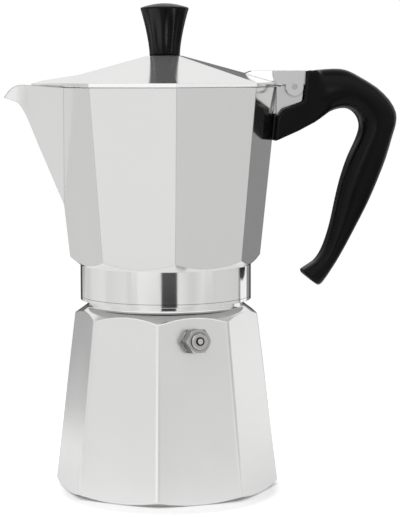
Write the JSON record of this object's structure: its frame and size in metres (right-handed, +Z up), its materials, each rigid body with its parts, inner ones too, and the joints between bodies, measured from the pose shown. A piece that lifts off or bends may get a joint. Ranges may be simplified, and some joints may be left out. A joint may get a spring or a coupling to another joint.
{
  "type": "stove-top moka pot",
  "caption": "Octagonal aluminium stove-top coffee pot: a boiler screwed to a pouring collector, with a hinged lid, a black loop handle, a knob, an inner funnel and filter, and a safety valve.",
  "frame": {"origin": "centre of the flat base, where the pot stands", "axes": "+Z up along the pot's axis, +X towards the handle, -X towards the spout"},
  "size_m": [0.2066, 0.1198, 0.2539],
  "materials": {
    "cast_aluminium": "satin, lightly brushed casting",
    "polished_aluminium": "polished casting",
    "bright_aluminium": "bright pressed sheet",
    "nickel": "nickel plated brass",
    "steel": "plain",
    "brass": "plain",
    "black_plastic": "satin heat-resistant plastic",
    "rubber": "off-white food-grade rubber"
  },
  "bodies": {
    "boiler_body": {"boiler": "cast_aluminium", "valve_body": "nickel", "valve_washer": "steel", "valve_cap": "nickel", "valve_spring": "steel"},
    "valve_plunger": {"valve_pin": "bright_aluminium", "valve_seal": "rubber"},
    "funnel": {"funnel_basket": "bright_aluminium", "funnel_stem": "bright_aluminium", "funnel_disc": "bright_aluminium"},
    "seal_carrier": {"gasket": "rubber", "filter_plate": "bright_aluminium"},
    "collector_body": {"collector": "polished_aluminium", "column": "cast_aluminium", "column_cap": "bright_aluminium", "handle": "black_plastic", "handle_screw": "steel"},
    "lid_body": {"lid": "polished_aluminium", "knob": "black_plastic", "knob_insert": "brass", "knob_screw": "steel", "knob_washer": "steel", "hinge_pin": "steel"}
  },
  "joints": [
    {"name": "valve_lift", "type": "slide", "parent": "boiler_body", "child": "valve_plunger", "axis": [0.2151, -0.9701, 0.1125], "range_m": [0, 0.0012], "stiffness_N_per_m": 1000, "springref_m": -0.0015, "deforming": ["valve_spring"]},
    {"name": "funnel_lift", "type": "slide", "parent": "boiler_body", "child": "funnel", "axis": [0, 0, 1], "range_m": [0, 0.105]},
    {"name": "unscrew_rise", "type": "slide", "parent": "funnel", "child": "seal_carrier", "axis": [0, 0, 1], "range_m": [0, 0.0076]},
    {"name": "unscrew_turn", "type": "hinge", "parent": "seal_carrier", "child": "collector_body", "pos_m": [0, 0, 0.1], "axis": [0, 0, 1], "range_deg": [0, 900]},
    {"name": "lid_hinge", "type": "hinge", "parent": "collector_body", "child": "lid_body", "pos_m": [0.0676, 0, 0.2104], "axis": [0, 1, 0], "range_deg": [0, 100]}
  ],
  "couplings": [
    {"joint": "unscrew_rise", "follows": "unscrew_turn", "m_per_rad": 0.00047746}
  ]
}
